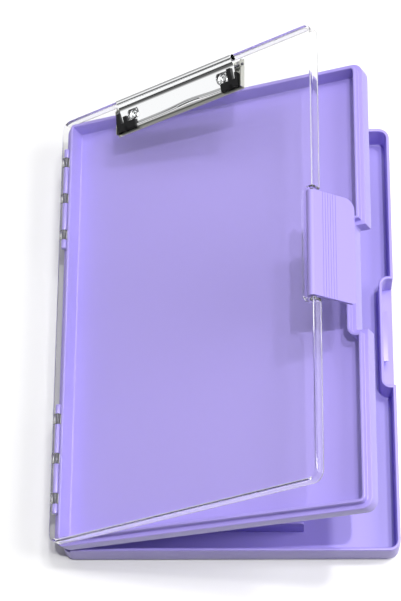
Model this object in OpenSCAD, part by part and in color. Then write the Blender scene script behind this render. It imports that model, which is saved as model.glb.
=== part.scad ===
// Storage clipboard box: a deep base, a shallow tray leaf and a clear writing
// cover hinged one over the other along a common spine, with a swinging latch
// and a sprung metal paper clip. Millimetres.
// The spine is at the left, the latch at the right and the clip at the back.
// Shapes are written for the shut box with its corner at the origin, then each
// leaf is swung open about its own hinge pin and the whole is centred.

/* [Box] */
// Outside width from the spine to the latch side
box_w = 242; // [228:1:256]
// Outside length from the front to the clip end
box_l = 335; // [322:1:350]
// Height of the base from the floor to its rim
base_h = 25; // [23:0.5:30]
// Wall and floor thickness of the base
base_wall = 2.4; // [2:0.1:2.8]
// Corner radius of the box seen from above
corner_r = 8; // [6:0.5:10]
// Rounding of the bottom edge of the base
foot_r = 3.5; // [2:0.25:4]

/* [Pen compartment] */
// Clear width between the front wall and the divider
pen_w = 18; // [14:0.5:24]
// How far the divider reaches from the spine
divider_l = 173.5; // [150:0.5:190]
// Thickness of the divider
divider_t = 1.6; // [1.2:0.1:2.4]
// How far the top of the divider stays below the rim
divider_drop = 2; // [1:0.25:5]

/* [Tray leaf] */
// Height of the tray wall from its underside to the ledge
tray_h = 11.3; // [10:0.1:14]
// Floor thickness of the tray
tray_floor = 2; // [1.6:0.1:2.4]
// Width of the ledge the cover skirt sits over
ledge_w = 3.4; // [3.2:0.1:4]
// Thickness of the inner rim
rim_t = 2.2; // [1.6:0.1:3]
// Height of the inner rim above the ledge
rim_h = 5.1; // [4.5:0.1:6]

/* [Cover] */
// Thickness of the clear plate
cover_t = 2; // [1.6:0.1:2.6]
// Thickness of the skirt round the plate
skirt_t = 2; // [1.6:0.1:2.2]

/* [Hinges] */
// Hinge pin diameter
pin_d = 2; // [1.6:0.1:2.2]
// Radial play between a pin and its bore
pin_play = 0.06; // [0.03:0.01:0.1]
// Length of the knuckle at each end of a hinge group
knuckle_end = 7; // [5:0.5:9]
// Length of the long knuckles between them
knuckle_long = 22; // [18:0.5:24]
// Length of the space for each knuckle of the upper leaf
knuckle_leaf = 8; // [6:0.5:10]
// Axial gap between neighbouring knuckles
knuckle_gap = 0.3; // [0.25:0.05:0.6]
// Distance from the end faces of the box to a hinge group
hinge_inset = 23.5; // [18:0.5:30]
// How far each pin end stays inside the end knuckle
pin_sink = 0.2; // [0.1:0.1:1]

/* [Latch] */
// Length of the latch along the box
latch_l = 77; // [60:1:88]
// Height of the tip of the shut latch above the floor
latch_tip = 7.9; // [6.5:0.1:10]
// Diameter of the latch barrel
latch_d = 7.2; // [6.6:0.1:7.6]
// Thickness of the latch flap
latch_t = 2.4; // [1.8:0.1:2.6]
// Diameter of the latch pin
latch_pin_d = 2; // [1.6:0.1:2.4]
// Length of the catch ridge and of the hook that goes under it
catch_l = 40; // [24:1:50]
// Spacing of the finger grooves
groove_pitch = 2.1; // [1.7:0.1:2.3]
// Width of each finger groove
groove_w = 0.6; // [0.4:0.1:0.8]

/* [Paper clip] */
// Width of the clip
clip_w = 121; // [112:0.5:130]
// Distance from the spine to the middle of the clip
clip_mid = 121; // [114:0.2:126]
// Depth of the clip foot plate
clip_d = 23.5; // [23:0.5:27]
// Distance from the back of the box to the foot plate
clip_back = 9.5; // [8:0.5:12]
// Sheet thickness of the clip
sheet_t = 0.8; // [0.6:0.1:0.9]
// Height of the foot plate's side flanges
flange_h = 4; // [3:0.1:4.4]
// Space between each flange and the lever
lever_inset = 5.2; // [4.6:0.1:6.5]
// Diameter of the rod the clip lever turns on
rod_d = 2; // [1.8:0.1:2.2]
// Height of the rod above the cover
rod_up = 2.9; // [2.8:0.1:3]
// Diameter of the rolled thumb edge of the lever
roll_d = 6; // [5.6:0.1:6.2]
// Spacing of the two rivets
rivet_gap = 86; // [76:1:90]
// Diameter of the rivet heads
rivet_head = 9.2; // [8:0.1:9.6]
// Distance from the back edge of the foot plate to the rivets
rivet_back = 10.5; // [10:0.5:12]
// Distance from each rivet to the spring beside it
spring_gap = 10.5; // [9:0.5:16]
// Wire diameter of the clip springs
wire_d = 0.6; // [0.5:0.05:0.6]
// Height of the rubber grips above the lever
grip_h = 1.8; // [1.2:0.1:2.4]
// How far the grips reach in over the lip of the lever
grip_arm = 14; // [11:0.5:16]
// How far the grips reach back over the lip
grip_lip = 5.6; // [4:0.2:6]
// Length of the short prong of each grip
prong_l = 10; // [8:0.5:12]
// Width of the prong on the lever plate
prong_w = 3.8; // [3:0.1:4.2]

/* [Pose] */
// How far the tray leaf stands open from the base
tray_open = 23.5; // [0:0.5:90]
// How far the cover stands open from the tray
cover_open = 15.5; // [0:0.5:90]
// How far the latch hangs out from its shut place
latch_open = 17; // [0:1:100]

/* [Hidden] */
$fn = 64;
e = 0.01;
// leaf heights
tray_z0 = base_h + 0.3;
tray_in = tray_z0 + tray_floor;
ledge_z = tray_z0 + tray_h;
rim_z = ledge_z + rim_h;
cover_z0 = rim_z + 0.8;
cover_z1 = cover_z0 + cover_t;
skirt_z = ledge_z + 0.3;
// tray hinge
h1_r = pin_d / 2 + 1.4;
h1_x = h1_r + 0.4;
h1_z = base_h + 0.2;
groove_r = h1_r + 1;
spine_top = h1_z - h1_r - 2.4;
spine_w = h1_x + groove_r;
// cover hinge
h2_r = pin_d / 2 + 1.2;
h2_x = h2_r + 0.3;
h2_z = cover_z0 - 2.5;
spine_ledge = h2_z - 4.8;
rim_x = h2_x + h2_r + 0.7;
pin_bore = pin_d / 2 + pin_play;
// cover edges, set so the skirt clears the tray rim
cover_y0 = ledge_w - skirt_t - 0.6;
cover_y1 = box_l - cover_y0;
cover_x1 = box_w - (ledge_w - skirt_t - 1);
// knuckle pattern from the start of a group
k1 = knuckle_end;
k2 = k1 + knuckle_leaf;
k3 = k2 + knuckle_long;
k4 = k3 + knuckle_leaf;
k5 = k4 + knuckle_long;
k6 = k5 + knuckle_leaf;
hinge_l = k6 + knuckle_end;
group_y = [hinge_inset, box_l - hinge_inset - hinge_l];
lower_at = [[0, k1], [k2, k3], [k4, k5], [k6, hinge_l]];
upper_at = [[k1, k2], [k3, k4], [k5, k6]];
// latch
latch_r = latch_d / 2;
latch_x = box_w - 0.9 - latch_r;
latch_z = cover_z1 - latch_r;
latch_y0 = (box_l - latch_l) / 2;
latch_y1 = latch_y0 + latch_l;
pocket_x = latch_x - latch_r - 0.4;
notch_x = pocket_x - 0.4;
latch_bore = latch_pin_d / 2 + pin_play;
flap_x = latch_x + latch_r - latch_t;
hook_z = latch_tip + 1.5;
catch_z = hook_z + 3.1;
groove_top = latch_z - latch_r - 2.5;
// clip
clip_x0 = clip_mid - clip_w / 2;
clip_x1 = clip_mid + clip_w / 2;
clip_y1 = box_l - clip_back;
clip_y0 = clip_y1 - clip_d;
foot_z = cover_z1 + sheet_t;
rod_y = clip_y1 - 5;
rod_z = cover_z1 + rod_up;
rod_r = rod_d / 2;
roll_r = roll_d / 2;
roll_y = rod_y + 5.6;
roll_z = rod_z + 4.2;
lip_y = clip_y0 + 2.9;
lip_z = foot_z + 0.35;
// the lever plate runs straight from its lip to the front of the roll
plate_y0 = lip_y + 2.2;
plate_z0 = lip_z + 0.15 + sheet_t;
plate_y1 = roll_y - roll_r + 0.6;
plate_z1 = roll_z - 0.3;
lever_tilt = atan((plate_z1 - plate_z0) / (plate_y1 - plate_y0));
lever_x0 = clip_x0 + lever_inset;
lever_x1 = clip_x1 - lever_inset;
rivet_y = clip_y1 - rivet_back;
rivet_x = [clip_mid - rivet_gap / 2, clip_mid + rivet_gap / 2];
coil_r = rod_r + wire_d / 2 + 0.1;
coil_x = [rivet_x[0] + spring_gap, rivet_x[1] - spring_gap];
ear_r = rod_z - foot_z - 0.3;
prong_end = rod_y - rod_r - 0.6;
prong_gap = 2.7;

// ---- helpers ----
module plan(x0, y0, x1, y1, r) {
  translate([x0 + r, y0]) square([x1 - x0 - 2 * r, y1 - y0]);
  translate([x0, y0 + r]) square([x1 - x0, y1 - y0 - 2 * r]);
  for (x = [x0 + r, x1 - r], y = [y0 + r, y1 - r]) translate([x, y]) circle(r);
}

module side_cut(x, grow_y, g, r) {
  plan(x - g, latch_y0 - grow_y - g, 2 * box_w, latch_y1 + grow_y + g, r + g);
}

module foot_profile(w) {
  translate([0, foot_r]) square([w, base_h - foot_r]);
  translate([foot_r, 0]) square([w - 2 * foot_r, foot_r + e]);
  for (x = [foot_r, w - foot_r]) translate([x, foot_r]) circle(foot_r);
}

module along_y(y0, y1) {
  translate([0, y1, 0]) rotate([90, 0, 0]) linear_extrude(y1 - y0) children();
}

module along_x(x0, x1) {
  translate([x0, 0, 0]) rotate([90, 0, 90]) linear_extrude(x1 - x0) children();
}

module bar_y(x, z, y0, y1, r) {
  translate([x, y0, z]) rotate([-90, 0, 0]) cylinder(h = y1 - y0, r = r);
}

module bar_x(y, z, x0, x1, r) {
  translate([x0, y, z]) rotate([0, 90, 0]) cylinder(h = x1 - x0, r = r);
}

module box(x0, y0, z0, x1, y1, z1) {
  translate([x0, y0, z0]) cube([x1 - x0, y1 - y0, z1 - z0]);
}

// ---- where each leaf stands ----
module centred() {
  translate([-box_w / 2, -box_l / 2, 0]) children();
}

module swing(x, z, angle) {
  translate([x, 0, z]) rotate([0, -angle, 0]) translate([-x, 0, -z]) children();
}

module on_tray() {
  centred() swing(h1_x, h1_z, tray_open) children();
}

module on_cover() {
  on_tray() swing(h2_x, h2_z, cover_open) children();
}

module on_latch() {
  on_cover() swing(latch_x, latch_z, latch_open) children();
}

// ---- base ----
module base_outside() {
  intersection() {
    linear_extrude(base_h) plan(0, 0, box_w, box_l, corner_r);
    along_y(-1, box_l + 1) foot_profile(box_w);
    along_x(-1, box_w + 1) foot_profile(box_l);
  }
}

module base_hollow() {
  w = base_wall;
  translate([0, 0, w]) linear_extrude(base_h) difference() {
    plan(w, w, box_w - w, box_l - w, corner_r - w);
    side_cut(pocket_x, 3.5, w, 5);
  }
}

module divider() {
  top = base_h - divider_drop;
  y0 = base_wall + pen_w;
  along_y(y0, y0 + divider_t) {
    translate([1, base_wall - 1]) square([divider_l - 1 - 3, top - base_wall + 1]);
    translate([1, base_wall - 1]) square([divider_l - 1, top - base_wall - 2]);
    translate([divider_l - 3, top - 3]) circle(3);
  }
}

module base_knuckles() {
  for (g = group_y, s = lower_at) {
    y0 = g + s[0];
    y1 = g + s[1];
    bar_y(h1_x, h1_z, y0, y1, h1_r);
    box(h1_x - 0.6, y0, h1_z - 11, h1_x + h1_r, y1, h1_z);
    box(1, y0, h1_z - 13, h1_x + h1_r, y1, spine_top - 0.2);
  }
}

module base_shell() {
  color([0.72, 0.66, 0.95]) centred() difference() {
    union() {
      difference() {
        base_outside();
        base_hollow();
        translate([0, 0, base_wall]) linear_extrude(base_h) side_cut(pocket_x, 3.5, 0, 5);
        box(-1, -1, spine_top, spine_w, box_l + 1, base_h + 1);
      }
      divider();
      base_knuckles();
      // catch ridge the latch hook goes under
      box(pocket_x - 1, (box_l - catch_l) / 2, catch_z,
        latch_x - 0.1, (box_l + catch_l) / 2, catch_z + 2.5);
    }
    for (g = group_y) bar_y(h1_x, h1_z, g - 1, g + hinge_l + 1, pin_bore);
  }
}

module tray_hinge_pin(g) {
  color([0.75, 0.75, 0.78]) centred() bar_y(h1_x, h1_z, g + pin_sink, g + hinge_l - pin_sink, pin_d / 2);
}

module tray_hinge_pin_front() {
  tray_hinge_pin(group_y[0]);
}

module tray_hinge_pin_back() {
  tray_hinge_pin(group_y[1]);
}

// ---- tray leaf ----
module tray_wall() {
  inner = ledge_w + rim_t;
  difference() {
    union() {
      translate([0, 0, tray_z0]) linear_extrude(tray_h) difference() {
        plan(0, 0, box_w, box_l, corner_r);
        side_cut(pocket_x, 1, 0, 2);
      }
      translate([0, 0, tray_z0]) linear_extrude(tray_h + rim_h) difference() {
        plan(rim_x, ledge_w, box_w - ledge_w, box_l - ledge_w, 5.5);
        side_cut(pocket_x, 1, ledge_w, 2);
      }
    }
    box(-1, -1, spine_ledge, rim_x, box_l + 1, rim_z + 1);
    translate([0, 0, tray_in]) linear_extrude(tray_h + rim_h) difference() {
      plan(rim_x + 2.4, inner, box_w - inner, box_l - inner, 4);
      side_cut(pocket_x, 1, inner, 2);
    }
    bar_y(h1_x, h1_z, -1, box_l + 1, groove_r);
  }
}

module tray_lower_knuckles() {
  for (g = group_y, s = upper_at) {
    y0 = g + s[0] + knuckle_gap;
    y1 = g + s[1] - knuckle_gap;
    bar_y(h1_x, h1_z, y0, y1, h1_r);
    box(h1_x - h1_r, y0, h1_z, h1_x + h1_r, y1, h1_z + groove_r + 1.4);
  }
}

module tray_upper_knuckles() {
  for (g = group_y, s = lower_at) {
    y0 = g + s[0];
    y1 = g + s[1];
    bar_y(h2_x, h2_z, y0, y1, h2_r);
    box(h2_x - 1, y0, spine_ledge - 0.5, rim_x + 0.5, y1, h2_z);
  }
}

module tray_shell() {
  color([0.75, 0.69, 0.97]) on_tray() difference() {
    union() {
      tray_wall();
      tray_lower_knuckles();
      tray_upper_knuckles();
    }
    for (g = group_y) {
      bar_y(h1_x, h1_z, g - 1, g + hinge_l + 1, pin_bore);
      bar_y(h2_x, h2_z, g - 1, g + hinge_l + 1, pin_bore);
    }
  }
}

module cover_hinge_pin(g) {
  color([0.75, 0.75, 0.78]) on_tray() bar_y(h2_x, h2_z, g + pin_sink, g + hinge_l - pin_sink, pin_d / 2);
}

module cover_hinge_pin_front() {
  cover_hinge_pin(group_y[0]);
}

module cover_hinge_pin_back() {
  cover_hinge_pin(group_y[1]);
}

// ---- clear cover ----
module cover_wall() {
  difference() {
    translate([0, 0, skirt_z]) linear_extrude(cover_z1 - skirt_z) difference() {
      plan(0, cover_y0, cover_x1, cover_y1, corner_r);
      side_cut(notch_x, 1.4, 0, 2.5);
    }
    translate([0, 0, skirt_z - 1]) linear_extrude(cover_z0 - skirt_z + 1) difference() {
      plan(-20, cover_y0 + skirt_t, cover_x1 - skirt_t, cover_y1 - skirt_t, corner_r - skirt_t);
      side_cut(notch_x, 1.4, skirt_t, 2.5);
    }
    box(-1, -1, skirt_z - 1, h2_x, box_l + 1, cover_z0);
  }
}

module cover_knuckles() {
  for (g = group_y, s = upper_at) {
    y0 = g + s[0] + knuckle_gap;
    y1 = g + s[1] - knuckle_gap;
    bar_y(h2_x, h2_z, y0, y1, h2_r);
    box(h2_x - h2_r, y0, h2_z, h2_x + h2_r, y1, cover_z0 + 0.5);
  }
}

module cover_shell() {
  color([0.86, 0.84, 0.96, 0.5]) on_cover() difference() {
    union() {
      cover_wall();
      cover_knuckles();
    }
    for (g = group_y) bar_y(h2_x, h2_z, g - 1, g + hinge_l + 1, pin_bore);
    bar_y(latch_x, latch_z, latch_y0 - 6, latch_y1 + 6, latch_bore);
    for (x = rivet_x) translate([x, rivet_y, skirt_z]) cylinder(h = 20, r = 2.1);
  }
}

// ---- latch ----
module flap_profile() {
  y0 = latch_y0;
  y1 = latch_y1;
  z0 = latch_tip;
  translate([y0 + 3, z0]) square([y1 - y0 - 11, latch_z - z0]);
  translate([y0, z0 + 3]) square([10, latch_z - z0 - 3]);
  translate([y1 - 10, z0 + 8]) square([10, latch_z - z0 - 8]);
  translate([y0 + 3, z0 + 3]) circle(3);
  translate([y1 - 8, z0 + 8]) circle(8);
}

module latch_flap() {
  color([0.72, 0.66, 0.95]) on_latch() difference() {
    union() {
      bar_y(latch_x, latch_z, latch_y0, latch_y1, latch_r);
      along_x(flap_x, flap_x + latch_t) flap_profile();
      // hook ridge
      box(latch_x - 0.9, (box_l - catch_l) / 2, hook_z,
        flap_x + 0.5, (box_l + catch_l) / 2, hook_z + 2.3);
    }
    bar_y(latch_x, latch_z, latch_y0 - 1, latch_y1 + 1, latch_bore);
    // finger grooves across the outer face
    for (i = [0:5]) translate([0, 0, -groove_pitch * i])
      box(flap_x + latch_t - 0.35, latch_y0 - 1, groove_top - groove_w,
        flap_x + latch_t + 1, latch_y1 + 1, groove_top);
  }
}

module latch_pin() {
  color([0.75, 0.75, 0.78]) on_cover()
    bar_y(latch_x, latch_z, latch_y0 - 3.2, latch_y1 + 3.2, latch_pin_d / 2);
}

// ---- paper clip ----
module flange_profile() {
  translate([clip_y0 + 1, cover_z1]) square([clip_d - 2, flange_h]);
  translate([rod_y, rod_z]) circle(ear_r + 0.8);
}

module clip_base_plate() {
  color([0.80, 0.82, 0.84]) on_cover() difference() {
    union() {
      box(clip_x0, clip_y0, cover_z1, clip_x1, clip_y1, foot_z);
      along_x(clip_x0, clip_x0 + sheet_t) flange_profile();
      along_x(clip_x1 - sheet_t, clip_x1) flange_profile();
    }
    bar_x(rod_y, rod_z, clip_x0 - 1, clip_x1 + 1, rod_r + pin_play);
    for (x = rivet_x) translate([x, rivet_y, cover_z1 - 1]) cylinder(h = 5, r = 2.1);
  }
}

// top of the lever plate at y
function plate_z(y) = plate_z0 + (y - plate_y0) * tan(lever_tilt);

module lever_profile() {
  t = sheet_t;
  polygon([[lip_y, lip_z], [plate_y0, plate_z0 - t], [plate_y1, plate_z1 - t],
    [roll_y, plate_z1 - t], [roll_y, plate_z1], [plate_y1, plate_z1],
    [plate_y0, plate_z0], [lip_y, lip_z + t]]);
}

module ear_profile() {
  polygon([[lip_y + 4, plate_z(lip_y + 4) - sheet_t / 2], [roll_y, plate_z1 - sheet_t / 2],
    [rod_y + ear_r, rod_z], [rod_y, rod_z - ear_r / 2], [rod_y - ear_r, rod_z]]);
  translate([rod_y, rod_z]) circle(ear_r);
}

module clip_lever() {
  color([0.86, 0.88, 0.90]) on_cover() difference() {
    union() {
      along_x(lever_x0, lever_x1) lever_profile();
      bar_x(roll_y, roll_z, lever_x0, lever_x1, roll_r);
      along_x(lever_x0, lever_x0 + sheet_t) ear_profile();
      along_x(lever_x1 - sheet_t, lever_x1) ear_profile();
    }
    bar_x(roll_y, roll_z, lever_x0 - 1, lever_x1 + 1, roll_r - sheet_t);
    bar_x(rod_y, rod_z, lever_x0 - 1, lever_x1 + 1, rod_r + pin_play);
    for (x = rivet_x) translate([x, rivet_y, foot_z + 0.1]) cylinder(h = 20, r = rivet_head / 2 + 0.9);
  }
}

module clip_rod() {
  color([0.75, 0.75, 0.78]) on_cover() bar_x(rod_y, rod_z, clip_x0 - 0.8, clip_x1 + 0.8, rod_r);
}

module clip_spring(x) {
  w = wire_d / 2;
  leg = w * 0.85;
  leg_l = 9;
  dip = asin((rod_z - coil_r - foot_z - leg) / leg_l);
  color([0.7, 0.7, 0.72]) on_cover() {
    translate([x, rod_y, rod_z]) rotate([0, 90, 0]) rotate_extrude($fn = 24)
      for (i = [-1.5:1.5]) translate([coil_r, i * wire_d * 0.9]) circle(w, $fn = 24);
    // lower leg reaching down to the foot plate
    translate([x - 1.35 * wire_d, rod_y, rod_z - coil_r]) rotate([90 + dip, 0, 0])
      cylinder(h = leg_l, r = leg, $fn = 24);
    // upper leg under the lever
    translate([x + 1.35 * wire_d, rod_y, rod_z]) rotate([90 + lever_tilt, 0, 0])
      translate([0, coil_r, 0]) cylinder(h = 6, r = leg, $fn = 24);
  }
}

module clip_spring_left() {
  clip_spring(coil_x[0]);
}

module clip_spring_right() {
  clip_spring(coil_x[1]);
}

module clip_rivet(x) {
  color([0.82, 0.84, 0.86]) on_cover() translate([x, rivet_y, 0]) difference() {
    union() {
      translate([0, 0, foot_z]) cylinder(h = 1.2, r1 = rivet_head / 2, r2 = rivet_head / 2 - 0.8);
      translate([0, 0, cover_z0 - 1.4]) cylinder(h = foot_z - cover_z0 + 2, r = 2);
      translate([0, 0, cover_z0 - 1.4]) cylinder(h = 0.6, r = 3);
    }
    translate([0, 0, foot_z - 0.6]) cylinder(h = 3, r = 1.3);
  }
}

module clip_rivet_left() {
  clip_rivet(rivet_x[0]);
}

module clip_rivet_right() {
  clip_rivet(rivet_x[1]);
}

module clip_washer(x) {
  color([0.78, 0.8, 0.82]) on_cover() translate([x, rivet_y, cover_z0 - 0.8]) difference() {
    cylinder(h = 0.8, r = 4.5);
    translate([0, 0, -1]) cylinder(h = 3, r = 2.1);
  }
}

module clip_washer_left() {
  clip_washer(rivet_x[0]);
}

module clip_washer_right() {
  clip_washer(rivet_x[1]);
}

// rubber over the lip of the lever, reaching back over its plate as far as y1
module grip_over(x0, x1, y1) {
  top = plate_z(y1);
  along_x(x0, x1) polygon([[lip_y, lip_z - 0.05], [lip_y - 0.7, lip_z - 0.05],
    [lip_y - 0.7, lip_z + 1.8], [lip_y + 1.2, lip_z + sheet_t + grip_h],
    [plate_y0, plate_z0 + grip_h], [y1, top + grip_h], [y1, top - sheet_t / 2],
    [plate_y0, plate_z0 - sheet_t / 2], [lip_y, lip_z + sheet_t / 2]]);
}

// rubber beside an ear of the lever
module grip_beside(x0, x1, y1) {
  z0 = lip_z - 0.05;
  along_x(x0, x1) polygon([[lip_y - 0.7, z0], [y1, z0], [y1, z0 + 4.8],
    [lip_y + 6, z0 + 4.2], [lip_y - 0.7, z0 + 1.85]]);
}

module lever_space() {
  along_x(lever_x0, lever_x1) lever_profile();
  along_x(lever_x0, lever_x0 + sheet_t) ear_profile();
  along_x(lever_x1 - sheet_t, lever_x1) ear_profile();
}

module clip_grip_left() {
  x0 = clip_x0 + sheet_t + 0.3;
  color([0.08, 0.08, 0.09]) on_cover() difference() {
    union() {
      grip_beside(x0, lever_x0, prong_end);
      grip_over(x0, lever_x0 + grip_arm, lip_y + grip_lip);
      grip_over(lever_x0 + prong_gap, lever_x0 + prong_gap + prong_w, lip_y + prong_l);
    }
    lever_space();
  }
}

module clip_grip_right() {
  x1 = lever_x1 + prong_w / 2;
  color([0.08, 0.08, 0.09]) on_cover() difference() {
    union() {
      grip_beside(lever_x1, x1, lip_y + prong_l);
      grip_over(lever_x1 - grip_arm, x1, lip_y + grip_lip);
      grip_over(lever_x1 - prong_gap - prong_w, lever_x1 - prong_gap, prong_end);
    }
    lever_space();
  }
}

base_shell();
tray_shell();
cover_shell();
tray_hinge_pin_front();
tray_hinge_pin_back();
cover_hinge_pin_front();
cover_hinge_pin_back();
latch_flap();
latch_pin();
clip_base_plate();
clip_lever();
clip_rod();
clip_spring_left();
clip_spring_right();
clip_rivet_left();
clip_rivet_right();
clip_washer_left();
clip_washer_right();
clip_grip_left();
clip_grip_right();
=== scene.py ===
"""Storage clipboard box. Lengths are in millimetres in the shut box's own axes (spine at x 0,
front at y 0, floor at z 0) and are carried to metres in the row frame by place()."""
import math
import bpy
import numpy as np
from mathutils import Matrix, Vector
from mathutils.geometry import tessellate_polygon
import bmesh


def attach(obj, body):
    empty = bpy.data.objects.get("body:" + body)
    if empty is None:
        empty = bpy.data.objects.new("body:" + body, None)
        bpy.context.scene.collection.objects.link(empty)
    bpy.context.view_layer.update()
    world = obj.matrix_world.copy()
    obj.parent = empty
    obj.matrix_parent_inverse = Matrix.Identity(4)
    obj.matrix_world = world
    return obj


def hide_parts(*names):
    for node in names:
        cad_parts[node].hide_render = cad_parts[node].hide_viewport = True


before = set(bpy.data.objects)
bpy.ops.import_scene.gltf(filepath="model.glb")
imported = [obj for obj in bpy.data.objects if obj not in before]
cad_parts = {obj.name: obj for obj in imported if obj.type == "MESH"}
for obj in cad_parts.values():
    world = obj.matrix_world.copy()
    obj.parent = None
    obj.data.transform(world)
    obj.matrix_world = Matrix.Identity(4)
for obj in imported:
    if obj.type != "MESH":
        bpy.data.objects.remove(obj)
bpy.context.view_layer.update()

# ---- sizes, as in the solids but for a few corner radii ----
BOX_W, BOX_L, BASE_H, WALL = 242.0, 335.0, 25.0, 2.4
CORNER_R, FOOT_R = 8.0, 3.5
TRAY_Z, TRAY_IN, LEDGE_Z, RIM_Z = 25.3, 27.3, 36.6, 41.7
COVER_Z, COVER_TOP, SKIRT_Z, SKIRT_T = 42.5, 44.5, 36.9, 2.0
COVER_W, COVER_IN = 241.6, 0.8
# the two hinge lines along the spine: x, z and knuckle radius
H1_X, H1_Z, H1_R = 2.8, 25.2, 2.4
H2_X, H2_Z, H2_R = 2.5, 40.0, 2.2
# the low side of base and tray along the spine
SPINE_TOP, SPINE_W, SPINE_LEDGE, RIM_X = 20.4, 6.2, 35.2, 5.4
LATCH_X, LATCH_Z = 237.5, 40.9
# latch recess in the right side of each leaf: x of its bottom, front y, back y, radius of its
# hollow corners and radius of its edges
BASE_RECESS = (233.5, 125.5, 209.5, 4.4, 1.0)
TRAY_RECESS = (233.5, 128.0, 207.0, 1.6, 0.8)
COVER_RECESS = (233.1, 127.6, 207.4, 2.5, 0.8)
# paper clip: foot plate, lever with its lip and roll, rod and rivets
CLIP_X0, SHEET = 60.5, 0.8
LEVER_X0, LEVER_X1, LIP_Y, LIP_Z = 65.7, 176.3, 304.9, 45.65
ROD_Y, ROLL_Y, ROLL_Z, ROLL_R = 320.5, 326.1, 51.6, 3.0
RIVET_X, RIVET_Y = (78.0, 164.0), 315.0
# degrees that each leaf stands open at rest
TRAY_OPEN, COVER_OPEN, LATCH_OPEN = 23.5, 15.5, 17.0
# knuckles: where each group starts along y, and the spans of lower and upper ones in a group
GROUPS = (23.5, 229.5)
LOWER = ((0, 7), (15, 37), (45, 67), (75, 82))
UPPER = ((7, 15), (37, 45), (67, 75))
GAP, KNUCKLE_EASE = 0.3, 0.25
MM = 0.001
# level margin of a shell's ends, the step at which two points are one, and the part of an
# eased edge that is left after its first step
MARGIN, NEAR, EASE = 0.25, 1e-4, 0.3
RIB_EASE, GRIP_EASE = 0.3, 0.45
# in metres, points that are merged and slivers that are dissolved; the least length divided by
MERGE, SLIVER, TINY = 1e-6, 1e-7, 1e-9


def turn(p, x, z, deg):
    """Points turned about an axis along y through (x, z), the +x side going up."""
    a = math.radians(deg)
    u, w = p[:, 0] - x, p[:, 2] - z
    q = p.copy()
    q[:, 0] = x + u * math.cos(a) - w * math.sin(a)
    q[:, 2] = z + u * math.sin(a) + w * math.cos(a)
    return q


def place(p, body):
    """Points of the shut box where that body stands at rest, in metres in the row frame."""
    p = np.array(p, float)
    if body == "latch":
        p = turn(p, LATCH_X, LATCH_Z, LATCH_OPEN)
    if body in ("cover", "latch", "lever"):
        p = turn(p, H2_X, H2_Z, COVER_OPEN)
    if body != "base":
        p = turn(p, H1_X, H1_Z, TRAY_OPEN)
    return (p - (BOX_W / 2, BOX_L / 2, 0.0)) * MM


def make(name, verts, faces, body, mat, slot, nodes=(), sharp=32):
    """One closed piece, smooth except along edges sharper than the given angle."""
    me = bpy.data.meshes.new(name)
    me.from_pydata([tuple(v) for v in place(verts, body)], [], faces)
    bm = bmesh.new()
    bm.from_mesh(me)
    bmesh.ops.remove_doubles(bm, verts=bm.verts, dist=MERGE)
    bmesh.ops.dissolve_degenerate(bm, edges=bm.edges, dist=SLIVER)
    bm.to_mesh(me)
    bm.free()
    me.materials.append(mat)
    me.shade_smooth()
    me.set_sharp_from_angle(angle=math.radians(sharp))
    ob = bpy.data.objects.new(name, me)
    bpy.context.scene.collection.objects.link(ob)
    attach(ob, body)
    if nodes:
        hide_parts(*nodes)
    return ob


# ---- outlines and shells ----
def outline(corners, n=9):
    """The round corners of a plan with square turns, anticlockwise. A corner (x, y, r) gives
    n + 1 points, and at part t of its quarter turn the point's own normal is that of the edge
    before times cos t plus that of the edge after times sin t. Held for each point: corner,
    sum of its two edge normals, radius, own normal, and whether the corner is hollow."""
    c = np.array(corners, float)
    a = c[:, :2] - np.roll(c[:, :2], 1, 0)
    b = np.roll(a, -1, 0)
    a, b = (k / np.linalg.norm(k, axis=1)[:, None] for k in (a, b))
    na, nb = (np.column_stack([k[:, 1], -k[:, 0]]) for k in (a, b))
    t = (np.arange(n + 1) / n * math.pi / 2)[None, :, None]
    own = na[:, None] * np.cos(t) + nb[:, None] * np.sin(t)
    hollow = a[:, 0] * b[:, 1] - a[:, 1] * b[:, 0] < 0
    at, diag, rad, hollow = (np.repeat(k, n + 1, 0) for k in (c[:, :2], na + nb, c[:, 2], hollow))
    return at, diag, rad, own.reshape(-1, 2), hollow


def inset(ring, d, dl):
    """The outline moved inwards by d, or by dl where a side faces the spine. A round corner
    tighter than the inset becomes a sharp one; a hollow corner grows."""
    at, diag, rad, nrm, hollow = ring
    dx = np.where(diag[:, 0] < 0, dl, d)
    dd = np.stack([dx, np.full(len(dx), d)], 1)
    rr = np.maximum(rad[:, None] - dd, 0)
    solid = at - diag * (dd + rr) + nrm * rr
    inner = at + diag * rad[:, None] - nrm * (rad[:, None] + dd)
    return np.where(hollow[:, None], inner, solid)


def leaf_plan(right, front, back, recess):
    """The plan of a leaf: a rounded rectangle with a recess for the latch in its right side."""
    x, y0, y1, hollow_r, edge_r = recess
    return [(right, front, CORNER_R), (right, y0, edge_r), (x, y0, hollow_r), (x, y1, hollow_r),
            (right, y1, edge_r), (right, back, CORNER_R), (0, back, CORNER_R), (0, front, CORNER_R)]


def split(ring, line):
    """The outline with two more points where it crosses x = line, one for each side and both
    with the normal blended in proportion, and which of its points are on the spine side."""
    p = inset(ring, 0.0, 0.0)[:, 0] - line
    q = np.roll(p, -1)
    counts = np.where(p * q < 0, 3, 1)
    i = np.repeat(np.arange(len(p)), counts)
    rank = np.arange(len(i)) - np.repeat(np.cumsum(counts) - counts, counts)
    at, diag, rad, nrm, hollow = (k[i] for k in ring)
    part = (p[i] / (p[i] - np.where(q[i] == p[i], np.inf, q[i])))[:, None]
    blend = nrm + (np.roll(ring[3], -1, 0)[i] - nrm) * part
    blend /= np.maximum(np.linalg.norm(blend, axis=1)[:, None], TINY)
    nrm = np.where(rank[:, None] > 0, blend, nrm)
    return (at, diag, rad, nrm, hollow), np.where(rank < 2, p[i], q[i]) < 0


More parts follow.
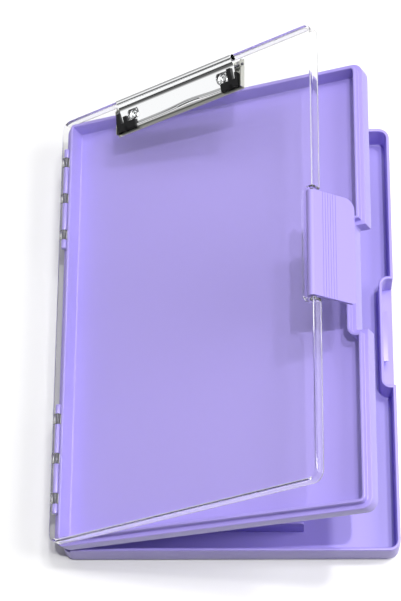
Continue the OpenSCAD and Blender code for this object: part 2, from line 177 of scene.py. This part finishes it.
def bands(count, around):
    """Quads between closed rings of points: quad i of ring k joins points i and i + 1 of ring k
    to the same two of ring k + 1."""
    k, i = np.meshgrid(np.arange(count - 1) * around, np.arange(around), indexing="ij")
    j = (i + 1) % around
    quads = np.stack([k + i, k + j, k + around + j, k + around + i], -1)
    return [tuple(q) for q in quads.reshape(-1, 4).tolist()]


def tube(rings):
    """Rings of points joined in turn, with one flat face across each end."""
    count, around = rings.shape[:2]
    ends = tuple(range(around)), tuple(range((count - 1) * around, count * around))
    return rings.reshape(-1, 3), bands(count, around) + [ends[0][::-1], ends[1]]


def shell(plan, spine_x, rows):
    """A shell: the profile's row (inset d, height z, and the same two on the spine side) is
    carried round the plan, so ring k is the plan moved in by d at height z. The first and last
    rings close, each with a level margin that keeps the flat faces flat in the light."""
    ring, spine = split(outline(plan), spine_x)
    first, last = ([(d + MARGIN, z, dl + MARGIN, zs)] for d, z, dl, zs in (rows[0], rows[-1]))
    rows = first + list(rows) + last
    rings = [np.column_stack([inset(ring, d, dl), np.where(spine, zs, z)])
             for d, z, dl, zs in rows]
    at = (len(rows) - 1) * len(spine)
    faces = bands(len(rows), len(spine))
    faces += cap(rings[0][:, :2], 0, -1) + cap(rings[-1][:, :2], at, 1)
    return np.concatenate(rings), faces


def cap(xy, first, way):
    """Triangles that close a level ring, facing up for way 1 and down for way -1."""
    keep = np.flatnonzero(np.abs(xy - np.roll(xy, 1, 0)).max(1) > NEAR)
    flat = [Vector((x, y, 0.0)) for x, y in xy[keep]]
    t = keep[np.array(tessellate_polygon([flat]))]
    u, v = xy[t[:, 1]] - xy[t[:, 0]], xy[t[:, 2]] - xy[t[:, 0]]
    right_way = (u[:, 0] * v[:, 1] - u[:, 1] * v[:, 0] > 0) == (way > 0)
    t = np.where(right_way[:, None], t, t[:, [0, 2, 1]]) + first
    return [tuple(q) for q in t.tolist()]


def arc(cx, cz, r, a0, a1, n):
    """Points on an arc in a profile, from angle a0 to a1 in degrees: centre + r (cos, sin)."""
    t = np.radians(np.linspace(a0, a1, n + 1))
    return list(zip((cx + r * np.cos(t)).tolist(), (cz + r * np.sin(t)).tolist()))


def rim_rows(d0, d1, top, r):
    """A rounded top edge of a wall between insets d0 and d1."""
    return arc(d0 + r, top - r, r, 180, 90, 4) + arc(d1 - r, top - r, r, 90, 0, 4)


def prism(section, y0, y1, r=0.0, axis="y"):
    """A solid with a given section, run along y (or x). Each ring is the section moved in by its
    own ease along the corner normals; the ease falls from r to 0 in two steps at each end."""
    s = np.array(section, float)
    if np.sum(s[:, 0] * np.roll(s[:, 1], -1) - np.roll(s[:, 0], -1) * s[:, 1]) < 0:
        s = s[::-1]
    b = np.roll(s, -1, 0) - s
    b /= np.linalg.norm(b, axis=1)[:, None]
    a = np.roll(b, 1, 0)
    n = np.stack([a[:, 1] + b[:, 1], -a[:, 0] - b[:, 0]], 1)
    n /= np.maximum(np.linalg.norm(n, axis=1)[:, None], TINY)
    steps = [(y0, r), (y0 + r * EASE, r * EASE), (y0 + r, 0),
             (y1 - r, 0), (y1 - r * EASE, r * EASE), (y1, r)]
    along, ease = np.array(steps if r else [(y0, 0), (y1, 0)], float).T
    q = s - n * ease[:, None, None]
    along = np.broadcast_to(along[:, None], q.shape[:2])
    if axis == "x":
        return tube(np.stack([along, q[..., 0], q[..., 1]], -1))
    verts, faces = tube(np.stack([q[..., 0], along, q[..., 1]], -1))
    return verts, [f[::-1] for f in faces]


def join(parts):
    """Several closed solids as one mesh."""
    verts, faces, at = [], [], 0
    for v, f in parts:
        verts.append(v)
        faces += [tuple(i + at for i in q) for q in f]
        at += len(v)
    return np.concatenate(verts), faces


# ---- materials ----
def node(tree, kind, **values):
    """A new shader node, with its unlinked inputs set."""
    n = tree.nodes.new("ShaderNode" + kind)
    for name, value in values.items():
        n.inputs[name.replace("_", " ")].default_value = value
    return n


def combine(tree, operation, a, b):
    """The output of a Math node over two sockets."""
    n = node(tree, "Math")
    n.operation = operation
    tree.links.new(a, n.inputs[0])
    tree.links.new(b, n.inputs[1])
    return n.outputs[0]


def ramp(tree, value, low, high, start=0.0, end=1.0):
    """The output of a ramp that carries start..end to low..high and holds at its ends."""
    n = node(tree, "MapRange", From_Min=start, From_Max=end, To_Min=low, To_Max=high)
    tree.links.new(value, n.inputs["Value"])
    return n.outputs["Result"]


def principled(name, color, rough, **extra):
    """A material with one Principled BSDF, and that shader."""
    m = bpy.data.materials.new(name)
    m.use_nodes = True
    b = m.node_tree.nodes["Principled BSDF"]
    b.inputs["Base Color"].default_value = (*color, 1)
    b.inputs["Roughness"].default_value = rough
    for k, v in extra.items():
        b.inputs[k.replace("_", " ")].default_value = v
    return m, b


PURPLE_GLOSS, RUBBER_GLOSS, SATIN_GLOSS = 0.34, 0.5, 0.30
PURPLE, purple_b = principled("purple_plastic", (0.39, 0.32, 0.79), PURPLE_GLOSS,
                              Specular_IOR_Level=0.5)
STEEL, _ = principled("pin_steel", (0.13, 0.13, 0.15), 0.38, Metallic=1.0)
CHROME, _ = principled("clip_chrome", (0.95, 0.96, 0.97), 0.07, Metallic=1.0)
SATIN, satin_b = principled("clip_satin", (0.58, 0.58, 0.54), SATIN_GLOSS, Metallic=1.0)
RUBBER, rubber_b = principled("black_rubber", (0.009, 0.009, 0.010), RUBBER_GLOSS,
                              Specular_IOR_Level=0.18)
# how much of the clear cover stands in the way of a shadow ray or of bounced light
CLEAR_SHADE = 0.27


def clear_plastic():
    """Clear styrene: it bends the view through it, and lets most light by for shadows and for
    the light bounced off the pieces under it."""
    m, b = principled("clear_plastic", (0.97, 0.97, 0.96), 0.0, Transmission_Weight=1.0,
                      IOR=1.5, Specular_IOR_Level=0.5)
    t = m.node_tree
    path = node(t, "LightPath")
    either = combine(t, "MAXIMUM", path.outputs["Is Shadow Ray"], path.outputs["Is Diffuse Ray"])
    t.links.new(ramp(t, either, 1.0, CLEAR_SHADE), b.inputs["Alpha"])
    return m


CLEAR = clear_plastic()


def moulded_grain():
    """Fine uneven gloss and a faint moulded grain, shared by the plain materials: one noise on
    Object coordinates sets the roughness between its two ends and the height of a bump."""
    g = bpy.data.node_groups.new("moulded_grain", "ShaderNodeTree")
    for name in ("Scale", "Roughness From", "Roughness To", "Relief"):
        g.interface.new_socket(name, in_out="INPUT", socket_type="NodeSocketFloat")
    g.interface.new_socket("Roughness", in_out="OUTPUT", socket_type="NodeSocketFloat")
    g.interface.new_socket("Normal", in_out="OUTPUT", socket_type="NodeSocketVector")
    given, out = g.nodes.new("NodeGroupInput"), g.nodes.new("NodeGroupOutput")
    at, noise = node(g, "TexCoord"), node(g, "TexNoise", Detail=4.0)
    rough, bump = node(g, "MapRange"), node(g, "Bump", Strength=0.12)
    for a, b in ((at.outputs["Object"], noise.inputs["Vector"]),
                 (given.outputs["Scale"], noise.inputs["Scale"]),
                 (noise.outputs["Fac"], rough.inputs["Value"]),
                 (given.outputs["Roughness From"], rough.inputs["To Min"]),
                 (given.outputs["Roughness To"], rough.inputs["To Max"]),
                 (noise.outputs["Fac"], bump.inputs["Height"]),
                 (given.outputs["Relief"], bump.inputs["Distance"]),
                 (rough.outputs["Result"], out.inputs["Roughness"]),
                 (bump.outputs["Normal"], out.inputs["Normal"])):
        g.links.new(a, b)
    return g


GRAIN = moulded_grain()


def grain(m, b, scale, rough, spread, relief):
    """Places the grain group in a material with its own values."""
    n = node(m.node_tree, "Group")
    n.node_tree = GRAIN
    for name, value in (("Scale", scale), ("Roughness From", rough - spread),
                        ("Roughness To", rough + spread), ("Relief", relief)):
        n.inputs[name].default_value = value
    for name in ("Roughness", "Normal"):
        m.node_tree.links.new(n.outputs[name], b.inputs[name])


grain(PURPLE, purple_b, 900.0, PURPLE_GLOSS, 0.05, 0.00004)
grain(RUBBER, rubber_b, 700.0, RUBBER_GLOSS, 0.08, 0.00006)
grain(SATIN, satin_b, 500.0, SATIN_GLOSS, 0.05, 0.00002)


def knuckles(section, spans, gap=0.0):
    """One prism of the section for each span of each hinge group, shorter by gap at each end."""
    return [prism(section, g + a + gap, g + b - gap, KNUCKLE_EASE)
            for g in GROUPS for a, b in spans]


# ---- base ----
BASE_RIM_R, BASE_FLOOR_R = 0.8, 1.2
rows = arc(FOOT_R, FOOT_R, FOOT_R, 270, 180, 6)
rows += rim_rows(0, WALL, BASE_H, BASE_RIM_R)
rows += arc(WALL + BASE_FLOOR_R, WALL + BASE_FLOOR_R, BASE_FLOOR_R, 180, 270, 5)
rows = [(d, z, d, min(z, SPINE_TOP)) for d, z in rows]
base = [shell(leaf_plan(BOX_W, 0, BOX_L, BASE_RECESS), SPINE_W, rows)]
# shelf across the latch recess, stopped short of where the recess walls end
SHELF_Y0, SHELF_Y1, SHELF_X = 124.6, 210.4, BASE_RECESS[0] - 1.2
foot = arc(BOX_W - FOOT_R, FOOT_R, FOOT_R, -90, -18, 5)
base.append(prism([(SHELF_X, 0)] + foot + [(BOX_W - 0.4, WALL), (SHELF_X, WALL)],
                  SHELF_Y0, SHELF_Y1))
# divider with a rounded end
DIVIDER_TOP, DIVIDER_X, DIVIDER_R, DIVIDER_Y0, DIVIDER_Y1 = 23.0, 173.5, 3, 20.4, 22.0
end = arc(DIVIDER_X - DIVIDER_R, DIVIDER_TOP - DIVIDER_R, DIVIDER_R, 0, 90, 6)
base.append(prism([(1, 1), (DIVIDER_X, 1)] + end + [(1, DIVIDER_TOP)],
                  DIVIDER_Y0, DIVIDER_Y1, RIB_EASE))
# catch ridge
RIDGE_X0, RIDGE_X1, RIDGE_Y0, RIDGE_Y1 = BASE_RECESS[0] - 1, LATCH_X - 0.1, 147.5, 187.5
base.append(prism([(RIDGE_X0, 12.5), (RIDGE_X1, 12.7), (RIDGE_X1, 14.6), (RIDGE_X0, 15)],
                  RIDGE_Y0, RIDGE_Y1, RIB_EASE))
# hinge knuckles on a rib that rises from the spine wall
base += knuckles([(1, 12.2), (5.2, 12.2)] + arc(H1_X, H1_Z, H1_R, 0, 216, 18) +
                 [(2.2, H1_Z - 2.4), (2.2, 20.2), (1, 20.2)], LOWER)
make("base_body", *join(base), "base", PURPLE, "purple_plastic", ["base_shell"])

# ---- tray ----
TRAY_FOOT_R, LEDGE_R, TRAY_RIM_R, TRAY_FLOOR_R = 1.0, 0.6, 0.7, 0.9
RIM_D0, RIM_D1 = 3.4, 5.6
foot = arc(TRAY_FOOT_R, TRAY_Z + TRAY_FOOT_R, TRAY_FOOT_R, 270, 180, 5)
# on the spine side the foot is a hollow that clears the lower knuckles
hollow = [(H1_X + 3.4, TRAY_Z), (5.6, 27.1), (4.3, 28.25), (H1_X, 28.6), (1.2, 28.2), (0, 27.1)]
rows = [(d, z, hd, hz) for (d, z), (hd, hz) in zip(foot, hollow)]
for d, z in arc(LEDGE_R, LEDGE_Z - LEDGE_R, LEDGE_R, 180, 90, 4) + [(2.9, LEDGE_Z)]:
    rows.append((d, z, d, z - LEDGE_Z + SPINE_LEDGE))
rows.append((RIM_D0, LEDGE_Z + 0.4, RIM_X, SPINE_LEDGE + 0.4))
for d, z in rim_rows(RIM_D0, RIM_D1, RIM_Z, TRAY_RIM_R):
    rows.append((d, z, d + RIM_X - RIM_D0, z))
for d, z in arc(RIM_D1 + TRAY_FLOOR_R, TRAY_IN + TRAY_FLOOR_R, TRAY_FLOOR_R, 180, 270, 5):
    rows.append((d, z, d + 2.2, z))
tray = [shell(leaf_plan(BOX_W, 0, BOX_L, TRAY_RECESS), RIM_X, rows)]
lower_k = arc(H1_X, H1_Z, H1_R, 180, 360, 16) + [(H1_X + H1_R, 30), (H1_X - H1_R, 30)]
upper_k = [(1.5, 34.7), (5.9, 34.7), (5.9, H2_Z)] + arc(H2_X, H2_Z, H2_R, 0, 243, 18)
tray += knuckles(lower_k, UPPER, GAP) + knuckles(upper_k, LOWER)
make("tray_body", *join(tray), "tray", PURPLE, "purple_plastic", ["tray_shell"])

# ---- clear cover ----
COVER_R, SKIRT_R, COVER_INNER_R = 1.2, 0.4, 0.8
rows = [(d, z, d, z) for d, z in arc(COVER_R, COVER_TOP - COVER_R, COVER_R, 90, 180, 6)]
for d, z in (arc(SKIRT_R, SKIRT_Z + SKIRT_R, SKIRT_R, 180, 270, 3) +
             arc(SKIRT_T - SKIRT_R, SKIRT_Z + SKIRT_R, SKIRT_R, 270, 360, 3)):
    rows.append((d, z, d, z - SKIRT_Z + COVER_Z if d < SKIRT_T / 2 else COVER_Z))
for d, z in arc(SKIRT_T + COVER_INNER_R, COVER_Z - COVER_INNER_R, COVER_INNER_R, 180, 90, 4):
    rows.append((d, z, d, COVER_Z))
verts, faces = shell(leaf_plan(COVER_W, COVER_IN, BOX_L - COVER_IN, COVER_RECESS), H2_X, rows)
# this profile runs down the outside and up the inside, so its faces are turned over
cover = [(verts, [q[::-1] for q in faces])]
leaf_top = COVER_Z + 0.4
leaf_k = arc(H2_X, H2_Z, H2_R, 180, 360, 16) + [(H2_X + H2_R, leaf_top), (H2_X - H2_R, leaf_top)]
cover += knuckles(leaf_k, UPPER, GAP)
make("cover_body", *join(cover), "cover", CLEAR, "clear_plastic", ["cover_shell"])

# ---- paper clip ----
PLATE_Y0, PLATE_Z0 = LIP_Y + 2.2, LIP_Z + 0.15 + SHEET
PLATE_Y1, PLATE_Z1 = ROLL_Y - ROLL_R + 0.6, ROLL_Z - 0.3
SLOPE = (PLATE_Z1 - PLATE_Z0) / (PLATE_Y1 - PLATE_Y0)
GRIP_H, GRIP_LIP, GRIP_ARM = 1.8, 5.6, 14.0
PRONG_GAP, PRONG_L, PRONG_W = 2.7, 10.0, 3.8


def plate_z(y):
    """Top of the lever plate at y."""
    return PLATE_Z0 + (y - PLATE_Y0) * SLOPE


def lathe(x, y, z, profile, n=40):
    """A profile of (radius r, height h) turned about the upright line through (x, y): angle t
    gives the point x + r cos t, y + r sin t, z + h."""
    p = np.array(profile, float)
    t = np.linspace(0, 2 * math.pi, n, endpoint=False)
    px = x + p[:, :1] * np.cos(t)
    py = y + p[:, :1] * np.sin(t)
    pz = z + p[:, 1:] + 0 * t
    return np.stack([px, py, pz], -1).reshape(-1, 3), bands(len(p), n)


def grip_over(x0, x1, y1):
    """Rubber over the lip, reaching back over the plate as far as y1."""
    z = plate_z(y1)
    round_lip = arc(LIP_Y + 0.5, LIP_Z + 1.25, 1.2, 180, 100, 5)
    back = [(y1 - 0.6, z + GRIP_H - 0.1), (y1, z + GRIP_H - 0.7), (y1, z - 0.4)]
    return prism([(LIP_Y, LIP_Z), (LIP_Y - 0.7, LIP_Z)] + round_lip +
                 [(PLATE_Y0, PLATE_Z0 + GRIP_H)] + back +
                 [(PLATE_Y0, PLATE_Z0 - 0.4), (LIP_Y, LIP_Z + 0.4)], x0, x1, GRIP_EASE, "x")


def grip_beside(x0, x1, y1):
    """Rubber beside an ear of the lever."""
    y, z = LIP_Y - 0.7, LIP_Z
    return prism([(y, z), (y1, z), (y1, z + 4.2), (y1 - 0.6, z + 4.8), (LIP_Y + 6, z + 4.2),
                  (y, z + 1.9)], x0, x1, GRIP_EASE, "x")


grip_end, left_x = ROD_Y - 1.6, CLIP_X0 + SHEET + 0.3
grip = [grip_beside(left_x, LEVER_X0, grip_end),
        grip_over(left_x, LEVER_X0 + GRIP_ARM, LIP_Y + GRIP_LIP),
        grip_over(LEVER_X0 + PRONG_GAP, LEVER_X0 + PRONG_GAP + PRONG_W, LIP_Y + PRONG_L)]
make("grip_left", *join(grip), "lever", RUBBER, "black_rubber", ["clip_grip_left"])
grip = [grip_beside(LEVER_X1, LEVER_X1 + PRONG_W / 2, LIP_Y + PRONG_L),
        grip_over(LEVER_X1 - GRIP_ARM, LEVER_X1 + PRONG_W / 2, LIP_Y + GRIP_LIP),
        grip_over(LEVER_X1 - PRONG_GAP - PRONG_W, LEVER_X1 - PRONG_GAP, grip_end)]
make("grip_right", *join(grip), "lever", RUBBER, "black_rubber", ["clip_grip_right"])

# rivet head with its dished middle, shank and turned-over end, as (radius, height)
DISH = [(0, 0.9), (1.1, 0.95), (1.5, 1.7), (2.1, 2.25), (2.7, 2.2), (3.1, 1.6), (3.6, 1.35),
        (4.2, 1.75), (4.7, 2.2), (5.1, 2.2), (5.3, 1.9), (5.3, 0.0), (2.0, 0.0), (2.0, -3.6),
        (3.0, -3.6), (3.0, -4.2), (0, -4.2)]
for name, x in zip(("left", "right"), RIVET_X):
    verts, faces = lathe(x, RIVET_Y, COVER_TOP + SHEET, DISH)
    make("rivet_" + name, verts, [q[::-1] for q in faces], "cover", CHROME, "clip_chrome",
         ["clip_rivet_" + name], 50)


def swept(x0, x1, n, section):
    """A closed section moved along x: section(u) gives its (y, z) points for u from 0 to 1, in
    clockwise order as seen from +x."""
    u = np.linspace(0, 1, n + 1)
    rings = np.array([section(k)[::-1] for k in u])
    x = np.broadcast_to((x0 + (x1 - x0) * u)[:, None], rings.shape[:2])
    return tube(np.dstack([x, rings]))


# where along the lever the lip bows back most, over what part of it, and how far back and up
BOW_AT, BOW_SPREAD, BOW_BACK, BOW_UP = 0.62, 0.2, 1.3, 0.5


def lip_section(u):
    """The bent front edge of the lever, which bows back between the grips by the bell
    exp(-((u - at) / spread)^2)."""
    bow = math.exp(-((u - BOW_AT) / BOW_SPREAD) ** 2)
    y = LIP_Y + 0.1 + BOW_BACK * bow
    z = LIP_Z + 0.1 + BOW_UP * bow
    return [(y, z), (y + 0.1, z + 0.3), (y + 0.5, z + 1.0), (y + 1.2, z + 1.5),
            (y + 2.2, plate_z(y + 2.2) + 0.25), (y + 3.6, plate_z(y + 3.6) + 0.02),
            (y + 3.6, plate_z(y + 3.6) - 0.4), (y + 1.4, z + 0.3), (y + 0.3, z - 0.05)]


BEND_R, BEND_END = 7.5, 62


def web_section(u):
    """The hollow bend where the lever plate turns up into its roll: an arc that starts along
    the plate's slope and ends at a set steepness."""
    y = PLATE_Y1 - 5.1
    z = plate_z(y)
    tilt = math.degrees(math.atan(SLOPE))
    cy = y - BEND_R * math.sin(math.radians(tilt))
    cz = z + BEND_R * math.cos(math.radians(tilt))
    bend = arc(cy, cz, BEND_R, 270 + tilt, 270 + BEND_END, 12)
    return bend + [(bend[-1][0] + 0.6, bend[-1][1] - 0.2), (PLATE_Y1 + 0.8, PLATE_Z1 - 0.5),
                   (y, z - 0.4)]


trim = [swept(LEVER_X0 + GRIP_ARM - 1, LEVER_X1 - GRIP_ARM + 1, 48, lip_section),
        swept(LEVER_X0 + 0.05, LEVER_X1 - 0.05, 1, web_section)]
make("clip_trim", *join(trim), "lever", CHROME, "clip_chrome", [], 60)

# ---- pieces kept as the solids, with their materials ----
for name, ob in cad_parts.items():
    mat = STEEL
    if name.startswith("latch_flap"):
        mat = PURPLE
    elif name == "clip_base_plate":
        mat = SATIN
    elif name in ("clip_lever", "clip_washer_left", "clip_washer_right"):
        mat = CHROME
    ob.data.materials.clear()
    ob.data.materials.append(mat)

# ---- floor, light and camera ----
FLOOR, FLOOR_WHITE, FLOOR_BOUNCE = 1.8, 0.89, 0.52
me = bpy.data.meshes.new("floor")
me.from_pydata([(-FLOOR, -FLOOR, 0), (FLOOR, -FLOOR, 0), (FLOOR, FLOOR, 0), (-FLOOR, FLOOR, 0)],
               [], [(0, 1, 2, 3)])
floor = bpy.data.objects.new("floor", me)
bpy.context.scene.collection.objects.link(floor)
white, white_b = principled("floor", (FLOOR_WHITE,) * 3, 0.9, Specular_IOR_Level=0.0)
me.materials.append(white)
# white to the eye, in glass and in metal, and a mid grey for the light that it throws back
tree = white.node_tree
path = node(tree, "LightPath").outputs
seen = path["Is Camera Ray"]
for kind in ("Is Glossy Ray", "Is Transmission Ray"):
    seen = combine(tree, "MAXIMUM", seen, path[kind])
tree.links.new(ramp(tree, seen, FLOOR_BOUNCE, FLOOR_WHITE), white_b.inputs["Base Color"])

# the world: bright to the eye and in reflections, where it darkens near the ground and toward
# the front and is half bright toward the rear, and faint as a light
WORLD_LIGHT, LOW_DARK, FRONT_DARK, REAR_DARK = 0.03, 0.10, 0.12, 0.45
world = bpy.data.worlds.new("world")
bpy.context.scene.world = world
world.use_nodes = True
tree = world.node_tree
background = tree.nodes["Background"]
background.inputs["Color"].default_value = (1, 1, 1, 1)
path = node(tree, "LightPath").outputs
seen = combine(tree, "MAXIMUM", path["Is Camera Ray"], path["Is Glossy Ray"])
level = ramp(tree, seen, WORLD_LIGHT, 1.0)
toward = node(tree, "SeparateXYZ")
tree.links.new(node(tree, "TexCoord").outputs["Generated"], toward.inputs[0])
lit = ramp(tree, toward.outputs["Z"], LOW_DARK, 1.0, 0.0, 0.08)
for low, high, start, end in ((FRONT_DARK, 1.0, -0.42, -0.14), (1.0, REAR_DARK, 0.10, 0.26)):
    lit = combine(tree, "MULTIPLY", lit, ramp(tree, toward.outputs["Y"], low, high, start, end))
gloss = node(tree, "Mix", A=1.0)
tree.links.new(path["Is Glossy Ray"], gloss.inputs["Factor"])
tree.links.new(lit, gloss.inputs["B"])
strength = combine(tree, "MULTIPLY", level, gloss.outputs["Result"])
tree.links.new(strength, background.inputs["Strength"])


def area(name, at, aim, size, watts):
    """A rectangular lamp at a point, facing another."""
    d = bpy.data.lights.new(name, "AREA")
    d.shape = "RECTANGLE"
    d.size, d.size_y = size
    d.energy = watts
    ob = bpy.data.objects.new(name, d)
    ob.location = at
    ob.rotation_euler = (Vector(aim) - Vector(at)).to_track_quat("-Z", "Y").to_euler()
    bpy.context.scene.collection.objects.link(ob)


def sun(name, toward, strength, spread):
    """A sun that stands in a given direction, its disc spread over so many degrees."""
    d = bpy.data.lights.new(name, "SUN")
    d.energy = strength
    d.angle = math.radians(spread)
    ob = bpy.data.objects.new(name, d)
    ob.rotation_euler = Vector(toward).to_track_quat("Z", "Y").to_euler()
    bpy.context.scene.collection.objects.link(ob)


MIDDLE = (0, 0, 0.05)
sun("key", (0.115, -0.09, 0.988), 1.36, 1.2)
sun("second", (0.23, 0.15, 0.96), 0.88, 4.0)
area("above", (0.20, 0.50, 1.7), (0.08, 0, 0.0), (0.35, 0.7), 2.4)
area("left", (-0.45, 0.6, 1.9), MIDDLE, (1.1, 1.1), 7.5)
area("low_right", (2.2, 0.1, 0.5), MIDDLE, (1.2, 0.7), 5.0)
area("high_right", (1.35, -0.12, 1.6), MIDDLE, (0.9, 0.9), 22.0)

# the camera: tilt, turn and roll about a point on the floor, and its distance; the lens is the
# sensor width times the focal length over the picture's longer side
TILT, TURN, ROLL = math.radians(67.647), math.radians(5.072), math.radians(-5.054)
AIM, DISTANCE, SENSOR, FOCAL, LONG_SIDE = (97.148, 203.115), 1.623765, 36, 2137.472, 601
back = Vector((math.sin(TURN) * math.cos(TILT), -math.cos(TURN) * math.cos(TILT),
               math.sin(TILT)))
side = Vector((math.cos(TURN), math.sin(TURN), 0))
up = back.cross(side)
right = side * math.cos(ROLL) + up * math.sin(ROLL)
high = up * math.cos(ROLL) - side * math.sin(ROLL)
cam = bpy.data.cameras.new("camera")
cam.lens = SENSOR * FOCAL / LONG_SIDE
cam.clip_end = 20
ob = bpy.data.objects.new("camera", cam)
eye = Vector(((AIM[0] - BOX_W / 2) * MM, (AIM[1] - BOX_L / 2) * MM, 0)) + back * DISTANCE
ob.matrix_world = Matrix([[right[i], high[i], back[i], eye[i]] for i in range(3)] +
                         [[0, 0, 0, 1]])
bpy.context.scene.collection.objects.link(ob)
bpy.context.scene.camera = ob
bpy.context.scene.view_settings.view_transform = "Standard"
